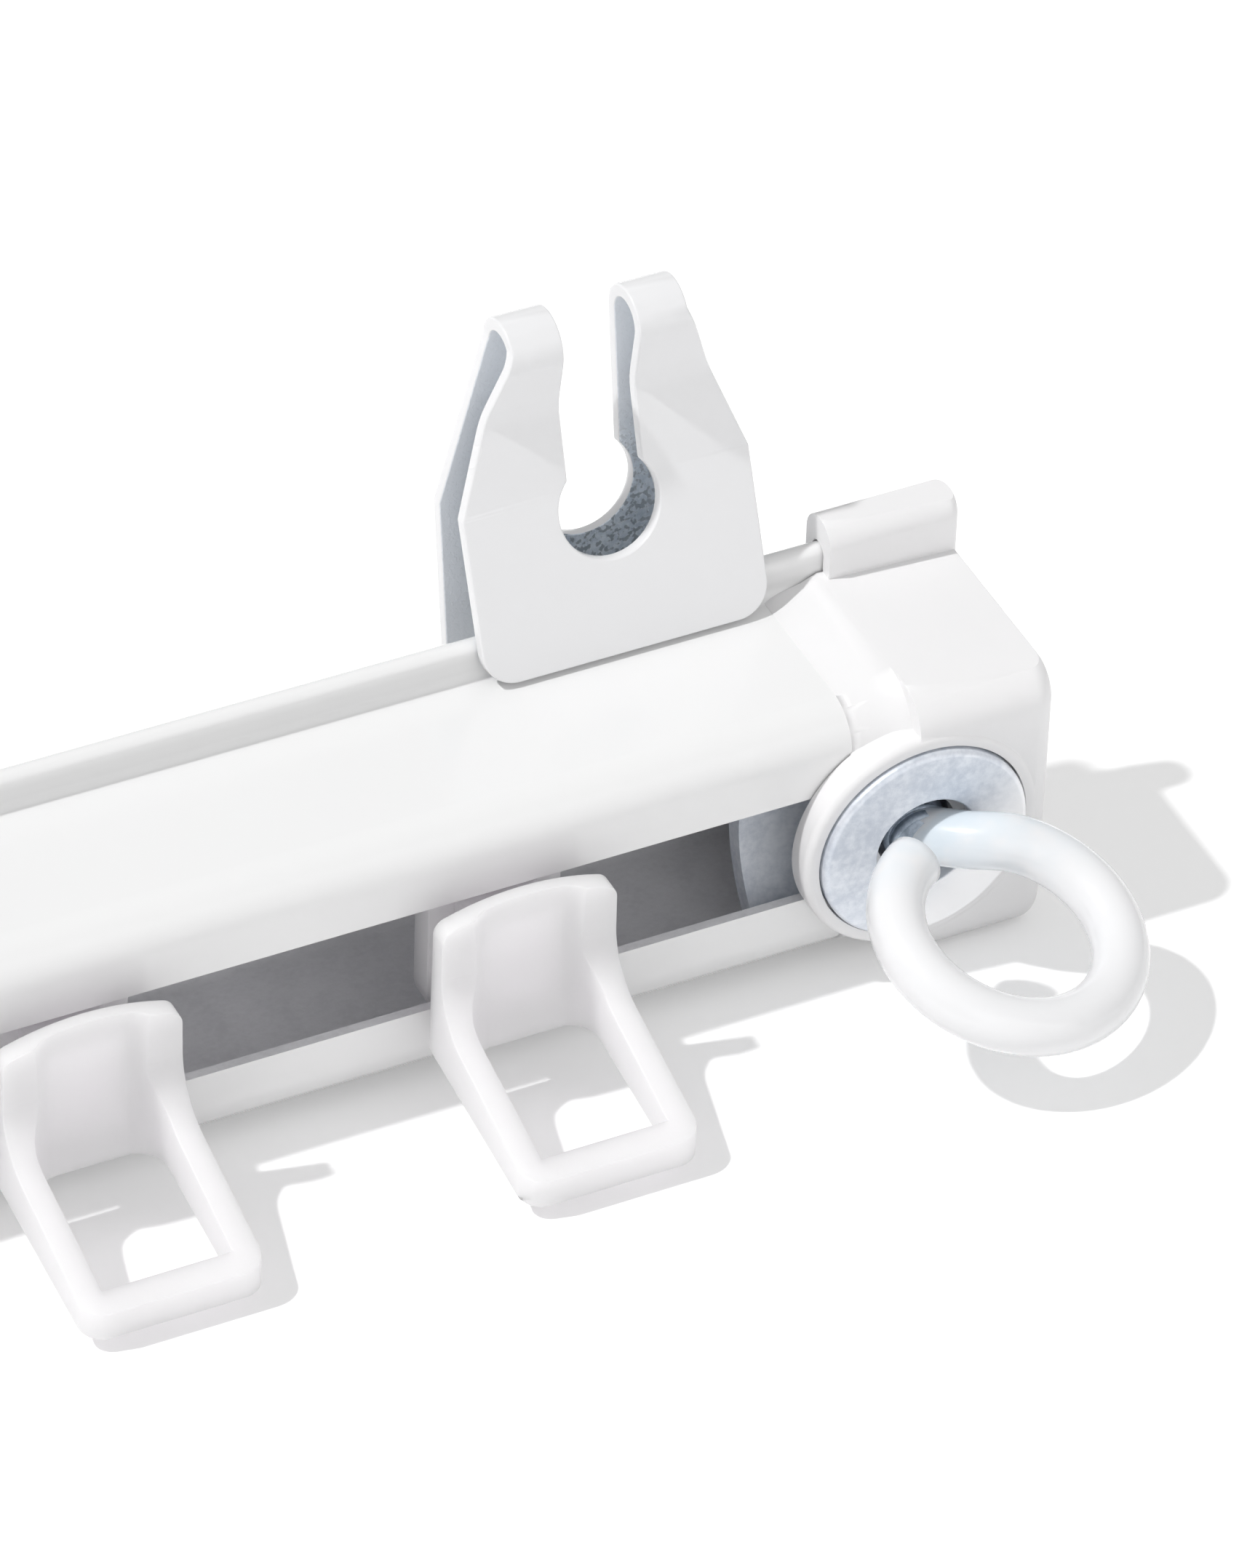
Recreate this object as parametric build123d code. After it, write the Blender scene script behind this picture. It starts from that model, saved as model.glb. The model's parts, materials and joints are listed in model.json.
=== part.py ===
"""Short curtain track: a rolled C rail with its end fittings, spring clips and gliders.

Sizes are in millimetres. X runs along the track, -Y is the side that the slot faces and +Z is up.
The origin is the middle of the rail's flat underside. The track lies on its underside: when it is
fixed, its back goes against the ceiling or the wall, and the clips grip the ridge.
"""
import os
from math import cos, radians, sin, sqrt, tan

from build123d import *

# Rail, one strip of painted steel
rail_length = 280.0
rail_depth = 12.0
rail_height = 16.2
sheet = 0.55
slot_height = 6.9
front_corner = 2.3
back_corner = 1.2
ridge_rise = 2.3
ridge_root = 0.6

# End cap, moulded over the end of the rail
cap_wall = 0.85
cap_clearance = 0.1
cap_end_wall = 1.95
cap_block = 8.15
cap_stand = 1.65
cap_corner = 1.2
cap_shoulder = 2.4
cap_draft = 0.4
ramp_length = 3.2
ramp_wall = 0.3
bead_rise = 1.65
bead_inset = 0.35
eye_inset = 7.75
collar_radius = 6.9
collar_stand = 1.75
collar_round = 0.45
washer_seat = 0.9

# Washer
washer_diameter = 12.0
washer_bore = 5.8
washer_thickness = 1.0
washer_bevel = 0.2
seat_clearance = 0.12

# Screw eye
wire = 3.1
thread_diameter = 4.0
thread_reach = 8.4
thread_point = 0.5
ring_radius = 6.2
ring_reach = 10.2
ring_offset = 0.7
ring_droop = 15.4
ring_roll = 9.5
ring_start = 15.0
ring_sweep = 313.0

# Threaded insert behind the slot, clamped by the screw eye
insert_sheet = 1.2
insert_bend = 7.1
insert_height = 11.2
insert_inboard = 8.3
insert_outboard = 5.4
insert_gap = 0.06
boss_diameter = 6.6
boss_length = 1.6
thread_clearance = 0.05

# Spring clip, folded from one blank
clip_sheet = 0.75
clip_width = 16.6
clip_crown = 10.1
clip_corner = 1.9
clip_inset = 19.75
clip_gap = 0.08
front_lean = 22.0
back_lean = 8.5
back_drop = 2.2
front_leaf = 9.4
waist_rise = 5.1
waist_lean = 17.5
throat_rise = 4.85
throat_lean = -9.0
loop_radius = 1.55
loop_flat = 0.05
waist_radius = 3.0
knee_radius = 8.0
keyhole_height = 8.1
keyhole_diameter = 5.8
keyhole_slot = 4.35
shoulder_height = 9.3
crown_height = 18.4

# Glider
glider_spacing = 24.0
glider_inset = 31.35
head_width = 7.6
head_height = 11.4
head_thickness = 1.7
head_corner = 2.2
head_gap = 0.65
neck_width = 4.6
neck_play = 0.6
saddle_gap = 1.8
saddle_top = 13.1
saddle_arch = 0.9
saddle_thickness = 1.2
saddle_width = 10.0
saddle_corner = 0.9
saddle_waist = 3.6
loop_width = 10.1
loop_level = 6.7
loop_droop = 15.1
loop_reach = 13.8
loop_root = 3.65
loop_lift = 2.1
loop_corner = 1.3
arm_width = 1.6
bar_width = 1.6
scoop_corner = 1.5
scoop_draft = 2.0

# Places that follow from the sizes above
ridge_thickness = 2 * sheet
front_y = -rail_depth / 2
back_y = rail_depth / 2
axis_z = rail_height / 2
ridge_top = rail_height + ridge_rise
cap_end = rail_length / 2 + cap_clearance + cap_end_wall
block_x = cap_end - cap_block
eye_x = cap_end - eye_inset
washer_seat_y = front_y - washer_seat
washer_face_y = washer_seat_y - washer_thickness


def side_view(sketch):
    """Lay a flat shape, drawn as (depth, height), in the plane across the track."""
    return Plane.YZ * sketch


def front_view(sketch, y=0.0):
    """Lay a flat shape, drawn as (length, height), facing the slot side at depth y."""
    return Plane(origin=(0, y, 0), x_dir=(1, 0, 0), z_dir=(0, -1, 0)) * sketch


def along_track(sketch, start, stop):
    """Extrude a shape of the section from one place along the track to another."""
    return Pos(start, 0, 0) * extrude(side_view(sketch), stop - start)


def body_outline(wall, stand, front_radius, back_radius):
    """Outline of the box part of the section, grown by a wall, its front face by stand."""
    low, high = -wall, rail_height + wall
    near, far = front_y - stand, back_y + wall
    box = Pos((near + far) / 2, (low + high) / 2) * Rectangle(far - near, high - low)
    box = fillet(box.vertices().sort_by(Axis.X)[:2], front_radius)
    foot = box.vertices().sort_by(Axis.X)[-2:].sort_by(Axis.Y)[0]
    return fillet(foot, back_radius)


def bar_outline(width, top):
    """Upright bar with a round top, over the ridge's place."""
    middle = back_y - ridge_thickness / 2
    base = rail_height - sheet
    straight = top - width / 2
    bar = Pos(middle, (base + straight) / 2) * Rectangle(width, straight - base)
    return bar + Pos(middle, straight) * Circle(width / 2)


def root_fillet(y, z, radius):
    """Concave corner between a level surface at z and an upright one at y behind it."""
    corner = Pos(y - radius / 2, z + radius / 2) * Rectangle(radius, radius)
    return corner - Pos(y - radius, z + radius) * Circle(radius)


def track_outline(grow=0.0):
    """Outside of the rail, ridge included, grown by a clearance."""
    body = body_outline(grow, grow, front_corner + grow, back_corner + grow)
    ridge = bar_outline(ridge_thickness + 2 * grow, ridge_top + grow)
    root = root_fillet(back_y - ridge_thickness - grow, rail_height + grow, ridge_root - grow)
    return body + ridge + root


def make_rail():
    """C section with a slot between two lips and a hemmed ridge, all of one thickness."""
    inside = body_outline(-sheet, -sheet, front_corner - sheet, back_corner - sheet)
    inside += root_fillet(back_y - sheet, rail_height - sheet, ridge_root + sheet)
    slot = Pos(front_y, axis_z) * Rectangle(4 * sheet, slot_height)
    return along_track(track_outline() - inside - slot, -rail_length / 2, rail_length / 2)


def rounded_bar(sketch, start, top, radius):
    """Shape of the section up to the cap's end, rounded there, its top falling by the draft."""
    bar = along_track(sketch, start, cap_end)
    bar = fillet(bar.faces().sort_by(Axis.X)[-1].edges(), radius)
    over = top + cap_draft
    wedge = Polyline((start, top), (cap_end, top - cap_draft), (cap_end, over), (start, over), close=True)
    return bar - extrude(front_view(make_face(wedge), back_y + rail_depth), 3 * rail_depth)


def make_cap():
    """Cup over the rail's end: block, bead over the ridge, feathered sleeve and collar."""
    outline = body_outline(cap_wall, cap_stand, cap_shoulder, cap_corner)
    block = rounded_bar(outline, block_x, rail_height + cap_wall, cap_corner)
    bead_outline = bar_outline(ridge_thickness + 2 * cap_wall, ridge_top + bead_rise)
    bead = rounded_bar(bead_outline, block_x + bead_inset, ridge_top + bead_rise, cap_corner / 2)
    stations = [(0.0, cap_wall), (0.3, 0.55 * cap_wall), (1.0, ramp_wall)]
    rings = [
        Pos(block_x - part * ramp_length, 0, 0)
        * side_view(body_outline(wall, wall, front_corner + wall, back_corner + wall))
        for part, wall in stations
    ]
    sleeve = loft(rings, ruled=True)
    disc = front_view(Pos(eye_x, axis_z) * Circle(collar_radius), front_y)
    collar = extrude(disc, collar_stand)
    collar = fillet(collar.edges().sort_by(Axis.Y)[0], collar_round)
    seat_radius = washer_diameter / 2 + seat_clearance
    seat = extrude(front_view(Pos(eye_x, axis_z) * Circle(seat_radius), washer_seat_y), 2 * cap_stand)
    hole_radius = thread_diameter / 2 + 3 * cap_clearance
    hole = extrude(front_view(Pos(eye_x, axis_z) * Circle(hole_radius), 0), 2 * rail_depth)
    cup = along_track(track_outline(cap_clearance), 0, rail_length / 2 + cap_clearance)
    return block + bead + sleeve + collar - seat - hole - cup


def make_washer():
    """Plain washer with a bevelled outer edge, in the collar's seat."""
    outer, bore = washer_diameter / 2, washer_bore / 2
    half = Polyline(
        (bore, 0),
        (outer, 0),
        (outer, washer_thickness - washer_bevel),
        (outer - washer_bevel, washer_thickness),
        (bore, washer_thickness),
        close=True,
    )
    ring = revolve(Plane.XZ * make_face(half), Axis.Z)
    return Plane(origin=(eye_x, washer_seat_y, axis_z), x_dir=(1, 0, 0), z_dir=(0, -1, 0)) * ring


def ring_frame():
    """Plane of the eye's ring: its x points back to the track, its z out of the ring's face."""
    roll, droop = radians(ring_roll), radians(ring_droop)
    normal = Vector(sin(roll), -cos(roll) * sin(droop), cos(roll) * cos(droop))
    centre = Vector(eye_x + ring_offset, front_y - ring_reach, axis_z)
    back = Vector(0, 1, 0) - normal * Vector(0, 1, 0).dot(normal)
    return Plane(origin=centre, x_dir=back, z_dir=normal)


def make_screw_eye():
    """Threaded shank, short neck and open ring, bent from one coated wire."""
    frame = ring_frame()
    section = Plane.XZ * Pos(ring_radius, 0) * Circle(wire / 2)
    turn = revolve(section, Axis.Z, revolution_arc=-ring_sweep)
    ring = frame * (Rot(0, 0, -ring_start) * turn)
    start = radians(-ring_start)
    elbow = frame.from_local_coords((ring_radius * cos(start), ring_radius * sin(start), 0))
    neck_foot = Vector(eye_x, washer_face_y + washer_thickness / 2, axis_z)
    direction = (elbow - neck_foot).normalized()
    neck_plane = Plane(origin=neck_foot, z_dir=direction)
    neck = extrude(neck_plane * Circle(wire / 2), (elbow - neck_foot).length)
    joints = Pos(elbow) * Sphere(wire / 2) + Pos(neck_foot) * Sphere(wire / 2)
    shank_length = thread_reach - washer_seat
    shank = Cylinder(thread_diameter / 2, shank_length + washer_thickness)
    shank = chamfer(shank.edges().sort_by(Axis.Z)[0], thread_point)
    shank_y = (front_y + thread_reach + washer_face_y) / 2
    return ring + neck + joints + Plane(origin=(eye_x, shank_y, axis_z), z_dir=(0, -1, 0)) * shank


def make_insert():
    """Rolled strip with a tapped boss, its two edges against the inside of the lips."""
    reach = sqrt(insert_bend**2 - (insert_height / 2) ** 2)
    lip_y = front_y + sheet + insert_gap
    centre = (lip_y - reach, axis_z)
    strip = Pos(*centre) * (Circle(insert_bend + insert_sheet) - Circle(insert_bend))
    window = Pos(lip_y + insert_bend / 2, axis_z) * Rectangle(insert_bend, insert_height)
    strip = along_track(strip & window, eye_x - insert_inboard, eye_x + insert_outboard)
    web_y = lip_y - reach + insert_bend
    base = Plane(origin=(eye_x, web_y + insert_sheet / 2, axis_z), z_dir=(0, 1, 0))
    boss = extrude(base * Circle(boss_diameter / 2), insert_sheet / 2 + boss_length)
    bore_plane = Plane(origin=(eye_x, 0, axis_z), z_dir=(0, 1, 0))
    bore = extrude(bore_plane * Circle(thread_diameter / 2 + thread_clearance), rail_depth, both=True)
    return strip + boss - bore


def step(point, length, lean):
    """Next point of the clip's side view, going up at an angle back from upright."""
    return (point[0] + length * sin(radians(lean)), point[1] + length * cos(radians(lean)))


def parallel(points, radii, distance):
    """The same open line shifted to its left by a distance, with its rounded corners."""
    line = [Vector(*point) for point in points]
    across = [(b - a).normalized().rotate(Axis.Z, 90) for a, b in zip(line, line[1:])]
    corners = [line[0] + across[0] * distance]
    rounds = []
    for corner, before, after, radius in zip(line[1:-1], across, across[1:], radii):
        corners.append(corner + (before + after) * (distance / (1 + before.dot(after))))
        turns_left = before.cross(after).Z > 0
        rounds.append(radius - distance if turns_left else radius + distance)
    corners.append(line[-1] + across[-1] * distance)
    return FilletPolyline(*corners, radius=rounds)


def bent_strip(points, radii, thickness):
    """Side view of a sheet bent along a line, which is the middle of its thickness."""
    left = parallel(points, radii, thickness / 2)
    right = parallel(points, radii, -thickness / 2)
    ends = [Line(left @ 0, right @ 0), Line(left @ 1, right @ 1)]
    return make_face([*left.edges(), *right.edges(), *ends])


def clip_points():
    """Middle of the folded sheet in side view, from the front leaf's foot to the back leaf's."""
    half = clip_sheet / 2
    lean = radians(front_lean)
    foot_z = rail_height + clip_gap + half * sin(lean)
    top_radius = ridge_thickness / 2
    ridge_y, ridge_z = back_y - top_radius, ridge_top - top_radius
    away = (top_radius + half + clip_gap + (ridge_z - foot_z) * sin(lean)) / cos(lean)
    foot = (ridge_y - away, foot_z)
    knee = step(foot, front_leaf, front_lean)
    waist = step(knee, waist_rise, waist_lean)
    front_top = step(waist, throat_rise, throat_lean)
    loop_width = loop_flat
    for turn in (90 - throat_lean, 90 + back_lean):
        loop_width += loop_radius * tan(radians(turn / 2))
    back_top = (front_top[0] + loop_width, front_top[1])
    middle = radians((front_lean + back_lean) / 2)
    level = foot[1] * cos(middle) + foot[0] * sin(middle) - back_drop
    top_level = back_top[1] * cos(middle) + back_top[0] * sin(middle)
    fall = (top_level - level) / cos(middle - radians(back_lean))
    back_foot = step(back_top, -fall, back_lean)
    return foot, knee, waist, front_top, back_top, back_foot


def clip_blank(bottom):
    """Flat outline of one leaf, up past the fold, with the open keyhole."""
    wide, narrow = clip_width / 2, clip_crown / 2
    top = crown_height + 2 * loop_radius
    leaf = Polyline(
        (-wide, bottom),
        (wide, bottom),
        (wide, shoulder_height),
        (narrow, crown_height),
        (narrow, top),
        (-narrow, top),
        (-narrow, crown_height),
        (-wide, shoulder_height),
        close=True,
    )
    blank = make_face(leaf)
    blank = fillet(blank.vertices().sort_by(Axis.Y)[:2], clip_corner)
    keyhole = Pos(0, keyhole_height) * Circle(keyhole_diameter / 2)
    keyhole += Pos(0, (keyhole_height + top) / 2) * Rectangle(keyhole_slot, top - keyhole_height)
    return blank - keyhole


def make_clip():
    """Two leaves joined by a round fold, with an open keyhole through both."""
    points = clip_points()
    radii = [knee_radius, waist_radius, loop_radius, loop_radius]
    front_foot = step(points[0], -clip_sheet, front_lean)
    back_foot = step(points[-1], -clip_sheet, back_lean)
    strip = bent_strip([front_foot, *points[1:-1], back_foot], radii, clip_sheet)
    folded = extrude(side_view(strip), clip_width / 2, both=True)
    middle = radians((front_lean + back_lean) / 2)
    half_gap = (points[-1][0] - points[0][0]) / 2
    blank_plane = Plane(
        origin=(0, points[0][0] + half_gap, points[0][1] - half_gap * tan(middle)),
        x_dir=(1, 0, 0),
        z_dir=(0, -cos(middle), sin(middle)),
    )
    front = extrude(blank_plane * clip_blank(0), clip_width)
    back = extrude(blank_plane * clip_blank(-back_drop), -clip_width)
    return Pos(cap_end - clip_inset, 0, 0) * (folded & (front + back))


def make_head():
    """Plate that runs behind the lips, and the neck that passes through the slot."""
    head_y = front_y + sheet + head_gap
    plate = Pos(0, axis_z) * RectangleRounded(head_width, head_height, head_corner)
    head = extrude(front_view(plate, head_y + head_thickness), head_thickness)
    stem = Pos(0, axis_z) * RectangleRounded(neck_width, slot_height - 2 * neck_play, neck_play)
    saddle_y = front_y - saddle_gap - saddle_thickness / 2
    return head + extrude(front_view(stem, head_y), head_y - saddle_y)


def make_saddle():
    """Arched shield before the slot and the tapered loop that takes the curtain hook."""
    back, face = front_y - saddle_gap, front_y - saddle_gap - saddle_thickness
    tip = front_y - loop_reach
    fall = tan(radians(loop_droop))
    side = make_face(
        Polyline(
            (back, loop_root),
            (back, saddle_top),
            (face, saddle_top),
            (face, loop_level),
            (tip, loop_level - fall * (face - tip)),
            (tip, loop_lift),
            close=True,
        )
    )
    bend = side.vertices().filter_by(lambda v: abs(v.X - face) + abs(v.Y - loop_level) < 0.01)
    side = fillet(bend, saddle_waist)
    body = extrude(side_view(side), loop_width, both=True)
    wide, top = loop_width / 2, saddle_width / 2
    plan = Pos(0, (back + tip) / 2) * Rectangle(loop_width, back - tip)
    plan = fillet(plan.vertices().sort_by(Axis.Y)[:2], loop_corner)
    body = body & extrude(plan, saddle_top)
    shoulder = saddle_top - saddle_arch
    sides = Polyline(
        (-top, shoulder), (-wide, loop_level), (-wide, 0), (wide, 0), (wide, loop_level), (top, shoulder)
    )
    arch = ThreePointArc((top, shoulder), (0, saddle_top), (-top, shoulder))
    front = make_face([*sides.edges(), arch])
    front = fillet(front.vertices().sort_by(Axis.Y)[-2:], saddle_corner)
    body = body & extrude(front_view(front, 0), 2 * rail_depth)
    eye_front = tip + bar_width
    eye = Pos(0, (face + eye_front) / 2) * Rectangle(loop_width - 2 * arm_width, face - eye_front)
    eye = fillet(eye.vertices().sort_by(Axis.Y)[-2:], scoop_corner)
    return body - extrude(eye, saddle_top + saddle_arch, taper=-scoop_draft)


def make_glider():
    """One moulded glider, standing in the slot at the middle of the track."""
    return make_head() + make_saddle()


def to_left(shape):
    """The same piece at the other end of the track."""
    return mirror(shape, Plane.YZ)


def build():
    """Every piece of the track by name."""
    pieces = {"rail": make_rail()}
    fittings = {
        "end_cap": make_cap(),
        "washer": make_washer(),
        "screw_eye": make_screw_eye(),
        "insert": make_insert(),
        "clip": make_clip(),
    }
    for name, piece in fittings.items():
        pieces[name + "_right"] = piece
        pieces[name + "_left"] = to_left(piece)
    glider = make_glider()
    row = 2 * (cap_end - glider_inset)
    gaps = int(row / glider_spacing)
    for number in range(gaps + 1):
        place = row / 2 - number * row / gaps
        pieces[f"glider_{number + 1:02d}"] = Pos(place, 0, 0) * glider
    return pieces


def main():
    """Write one STEP file for each piece."""
    os.makedirs("parts", exist_ok=True)
    for name, piece in build().items():
        export_step(piece, f"parts/{name}.step")


if __name__ == "__main__":
    main()
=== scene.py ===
"""Looks of a short curtain track: enamelled rail, moulded caps, screw eyes, clips and gliders."""

import json
import math

import bmesh
import bpy
from bpy.props import FloatProperty, FloatVectorProperty, PointerProperty
from mathutils import Matrix, Vector


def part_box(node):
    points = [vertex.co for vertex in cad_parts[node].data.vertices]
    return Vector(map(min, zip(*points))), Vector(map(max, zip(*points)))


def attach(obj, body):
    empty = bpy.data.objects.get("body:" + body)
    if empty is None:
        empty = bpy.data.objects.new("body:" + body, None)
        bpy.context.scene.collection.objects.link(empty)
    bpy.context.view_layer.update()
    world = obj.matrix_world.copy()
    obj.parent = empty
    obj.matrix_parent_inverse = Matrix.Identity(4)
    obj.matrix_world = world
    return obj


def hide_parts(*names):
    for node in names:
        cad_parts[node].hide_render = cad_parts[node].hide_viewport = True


bl_info = {
    "name": "Curtain Track",
    "version": (1, 0, 0),
    "blender": (4, 5, 0),
    "location": "View3D > Sidebar > Curtain Track",
    "description": "Builds a curtain track with its end fittings, clips and gliders",
    "category": "Object",
}

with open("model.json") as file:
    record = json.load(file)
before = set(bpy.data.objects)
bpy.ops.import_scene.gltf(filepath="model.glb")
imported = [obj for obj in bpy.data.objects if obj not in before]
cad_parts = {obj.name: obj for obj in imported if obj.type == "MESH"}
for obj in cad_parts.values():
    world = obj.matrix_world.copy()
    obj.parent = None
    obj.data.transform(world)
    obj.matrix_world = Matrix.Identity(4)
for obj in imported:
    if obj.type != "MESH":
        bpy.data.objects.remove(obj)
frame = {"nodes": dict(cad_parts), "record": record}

MM = 0.001
SIDES = ("right", "left")
GLIDERS = sorted(name for name in frame["nodes"] if name.startswith("glider_"))
MOUNTS = {mount["name"]: Vector(mount["pos_m"]) for mount in frame["record"]["mounts"]}

# Face attribute that tells the inside of folded sheet from its outside
INNER = "inner_face"

# Edges that turn by more than this are rounded
SHARP = math.radians(32)

# The rail's section without its ridge: a box with rounded corners around the line RAIL_MIDDLE, as (y, z)
HALF_DEPTH = MOUNTS["back"].y
HALF_HEIGHT = MOUNTS["back"].z
FRONT_CORNER = 2.3 * MM
BACK_CORNER = 1.2 * MM
RAIL_MIDDLE = ((-0.9 * HALF_DEPTH, HALF_HEIGHT), (0.9 * HALF_DEPTH, HALF_HEIGHT))
RAIL_TOP_INSIDE = 15.8 * MM
# Heights of the ridge's face, which is painted darker as painted shade
RIDGE_SHADE_BAND = (16.7 * MM, 17.9 * MM)

# Marks on an end cap: the step from its block to its sleeve, its roof, its bead and the washer's seat
CAP_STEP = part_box("end_cap_right")[1].x - 8.15 * MM
CAP_ROOF = 17.0 * MM
BEAD_FRONT = 4.05 * MM
SEAT_RADIUS = 6.12 * MM
SEAT_ROUNDING = 0.3
STEP_ROUNDING = 2.2

# The cap's sleeve: where it starts on the rail, how far it ramps, and how far its edge is lowered
SLEEVE_START = CAP_STEP - 3.2 * MM
SLEEVE_RAMP = 2.24 * MM
SLEEVE_LOWERED = 0.27 * MM
SLEEVE_SUNK = 0.25 * MM

# Line of (y, z) points between a clip's leaves, and the middle part inside that is painted darker as
# painted shade; the inside around it is painted lighter as painted light
CLIP_MIDDLE = ((6.2 * MM, 15.0 * MM), (9.9 * MM, 29.5 * MM), (9.95 * MM, 33.0 * MM))
SHADE_HALF_WIDTH = 4.6 * MM
SHADE_TOP = 25.0 * MM

# The eye: its wire starts inside the washer, bends in front of it, and its coating is thin up to NECK_END
NECK_START = 0.4 * MM
NECK_BEND = 1.0 * MM
NECK_END = -11.5 * MM
RING_STEPS = 72
THREAD_OUT = 0.8 * MM
THREAD_DEPTH = 0.61
THREAD_INPUTS = ("Length", "Pitch", "Root", "Hand")

# The photographed track leans forward, with its loops near the table, so the floor slopes here
FLOOR_SLOPE = 0.14
FLOOR_EDGE = Vector((0.0, -6.0, -0.75)) * MM
FLOOR_LIFT = 0.22

# How far the light of each sun moves across, in x and y, for each unit down, and the sun's width
KEY_ACROSS = (0.66, -0.16)
KEY_ANGLE = 2.0
FRONT_ACROSS = (-0.25, 3.0)
FRONT_ANGLE = 70.0

# The camera's axes and the point it looks at, measured from the track's right end
CAMERA_RIGHT = Vector((0.8998, -0.4351, 0.0301))
CAMERA_UP = Vector((0.2586, 0.5880, 0.7665))
AIM = Vector((-20.05, 2.6, 8.15)) * MM


# Measures read from the frame
def middle(node):
    """Centre of a CAD node's box."""
    low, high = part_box(node)
    return (Vector(low) + Vector(high)) / 2


# Shader maths
class Wire:
    """A socket of a material's node tree that takes part in Python expressions."""

    def __init__(self, material, socket):
        self.material = material
        self.socket = socket

    def _math(self, operation, *values):
        return self.material.node("ShaderNodeMath", {"operation": operation}, dict(enumerate(values)))

    def __add__(self, other):
        return self._math("ADD", self, other)

    def __radd__(self, other):
        return self._math("ADD", other, self)

    def __sub__(self, other):
        return self._math("SUBTRACT", self, other)

    def __rsub__(self, other):
        return self._math("SUBTRACT", other, self)

    def __mul__(self, other):
        return self._math("MULTIPLY", self, other)

    def __rmul__(self, other):
        return self._math("MULTIPLY", other, self)

    def absolute(self):
        return self._math("ABSOLUTE", self)

    def above(self, edge, softness):
        """0 below an edge, 1 above it, with a soft step between."""
        settings = {"interpolation_type": "SMOOTHSTEP"}
        values = {"Value": self, "From Min": edge - softness, "From Max": edge + softness}
        return self.material.node("ShaderNodeMapRange", settings, values)

    def below(self, edge, softness):
        """1 below an edge, 0 above it."""
        return 1 - self.above(edge, softness)


class Finish:
    """A new material with one Principled shader and short ways to add nodes."""

    def __init__(self, name):
        self.data = bpy.data.materials.new(name)
        self.data.use_nodes = True
        self.tree = self.data.node_tree
        self.shader = self.tree.nodes["Principled BSDF"]
        self.output = self.tree.nodes["Material Output"]
        self.place = self.node("ShaderNodeTexCoord", {}, {}, "Object")

    def node(self, kind, settings, values, output=0):
        """Add a node: settings first, then its sockets' values or links; returns one output."""
        made = self.tree.nodes.new(kind)
        for key, value in settings.items():
            setattr(made, key, value)
        for key, value in values.items():
            self.feed(made.inputs[key], value)
        return Wire(self, made.outputs[output])

    def feed(self, socket, value):
        """Link a wire to a socket, or set the socket's own value."""
        if isinstance(value, Wire):
            self.tree.links.new(value.socket, socket)
        else:
            socket.default_value = value

    def set(self, **values):
        """Set or link sockets of the shader, named with underscores for blanks."""
        for key, value in values.items():
            self.feed(self.shader.inputs[key.replace("_", " ")], value)

    def axis(self, letter):
        """One coordinate of the place on the object, in metres."""
        return self.node("ShaderNodeSeparateXYZ", {}, {"Vector": self.place}, letter)

    def noise(self, size, detail=2.0, roughness=0.5, stretch=None):
        """Cloudy pattern whose blobs are about a size across, in metres."""
        vector = self.place
        if stretch:
            vector = self.node("ShaderNodeMapping", {}, {"Vector": self.place, "Scale": stretch})
        values = {"Vector": vector, "Scale": 1 / size, "Detail": detail, "Roughness": roughness}
        return self.node("ShaderNodeTexNoise", {}, values, "Fac")

    def blend(self, factor, first, second):
        """Mix of two colours, each a tuple or a wire."""
        made = self.tree.nodes.new("ShaderNodeMix")
        made.data_type = "RGBA"
        self.feed(made.inputs["Factor"], factor)
        for index, colour in ((6, first), (7, second)):
            self.feed(made.inputs[index], colour if isinstance(colour, Wire) else (*colour[:3], 1.0))
        return Wire(self, made.outputs[2])

    def bump(self, height, distance, strength=1.0):
        """Relief of a height pattern, over a distance in metres."""
        values = {"Strength": strength, "Distance": distance, "Height": height}
        return self.node("ShaderNodeBump", {}, values, "Normal")


def shade(colour, factor):
    """A colour made lighter or darker by a factor."""
    return tuple(min(1.0, part * factor) for part in colour[:3])


# Finishes
def zinc_colour(finish, light, dark, size):
    """Mottled colour of a zinc coat: soft clouds with fine grains in them."""
    clouds, grains = finish.noise(6 * size, 3.0, 0.6), finish.noise(size, 4.0, 0.65)
    return finish.blend((clouds * 0.5 + grains * 0.5).above(0.5, 0.16), dark, light)


def rail_finish(looks):
    """White enamel outside, its ridge's face painted darker as painted shade; uncoated spangled zinc on the
    faces inside the section, painted near white as painted light.
    """
    finish = Finish("rail_enamel_and_zinc")
    inside = finish.node("ShaderNodeAttribute", {"attribute_name": INNER}, {}, "Fac")
    # painted light: the zinc inside is painted near white, standing in for the light that reaches into the
    # slot
    zinc = zinc_colour(finish, looks.inside_light, looks.inside_dark, 0.35 * MM)
    cloud = finish.noise(14 * MM, 3.0)
    enamel = finish.blend(cloud, shade(looks.enamel, 0.985), looks.enamel)
    # painted shade: the ridge's face is painted darker, for the shade it lies in
    height = finish.axis("Z")
    ridge = height.above(RIDGE_SHADE_BAND[0], 0.3 * MM) * height.below(RIDGE_SHADE_BAND[1], 0.4 * MM)
    enamel = finish.blend(ridge, enamel, shade(looks.enamel, 0.89))
    orange_peel = finish.noise(1.6 * MM, 1.0)
    grain = finish.noise(0.22 * MM, 3.0)
    finish.set(
        Base_Color=finish.blend(inside, enamel, zinc),
        Metallic=inside * 0.05,
        Roughness=inside * (0.3 + grain * 0.2) + (1 - inside) * (0.2 + cloud * 0.06),
        Normal=finish.bump(orange_peel * 0.25 * (1 - inside) + grain * inside, 0.02 * MM, 0.6),
        Coat_Weight=(1 - inside) * 0.3,
        Coat_Roughness=0.06,
    )
    return finish.data


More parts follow.
